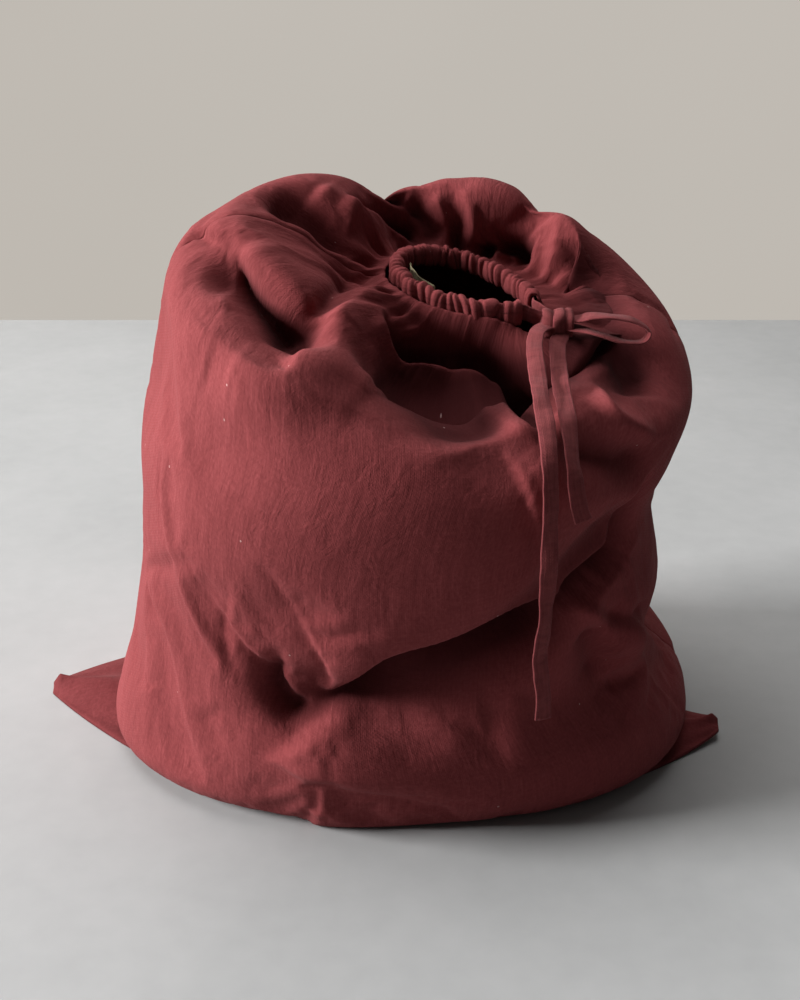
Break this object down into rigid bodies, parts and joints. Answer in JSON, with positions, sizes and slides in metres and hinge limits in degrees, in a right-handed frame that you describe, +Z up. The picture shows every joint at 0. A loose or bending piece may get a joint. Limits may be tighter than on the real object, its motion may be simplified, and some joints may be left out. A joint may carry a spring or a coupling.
{
  "type": "cloth bag",
  "caption": "Soft linen drawstring bag standing filled on the floor, its gathered mouth tied in a half bow with two hanging tails.",
  "frame": {"origin": "on the floor, under the middle of the bag's outline with its corners", "axes": "+Z up, +X to the right side of the bag as seen from the front, +Y to its back"},
  "size_m": [0.427, 0.2959, 0.3285],
  "materials": {
    "linen": "washed plain-weave linen, matte, wine red",
    "linen_strip": "folded and stitched strip of the same linen",
    "beige_tape": "plain woven cotton tape, matte, blank"
  },
  "bodies": {
    "bag": {"front_panel": "linen", "back_panel": "linen", "left_corner": "linen", "right_corner": "linen", "left_side_seam": "linen", "right_side_seam": "linen", "bottom_seam": "linen", "casing": "linen", "drawstring_in_casing": "linen_strip", "knot": "linen_strip", "inner_tape": "beige_tape"},
    "long_tail": {"tail_long": "linen_strip"},
    "short_tail": {"tail_short": "linen_strip"},
    "loop": {"bow_loop": "linen_strip"}
  },
  "joints": [
    {"name": "long_tail_swing", "type": "hinge", "parent": "bag", "child": "long_tail", "pos_m": [0.09894, -0.03386, 0.2648], "axis": [-1, 0, 0], "range_deg": [0, 70]},
    {"name": "short_tail_swing", "type": "hinge", "parent": "bag", "child": "short_tail", "pos_m": [0.09894, -0.03386, 0.2648], "axis": [-1, 0, 0], "range_deg": [0, 70]},
    {"name": "loop_lift", "type": "hinge", "parent": "bag", "child": "loop", "pos_m": [0.09894, -0.03386, 0.2648], "axis": [0, -1, 0], "range_deg": [0, 40]}
  ]
}
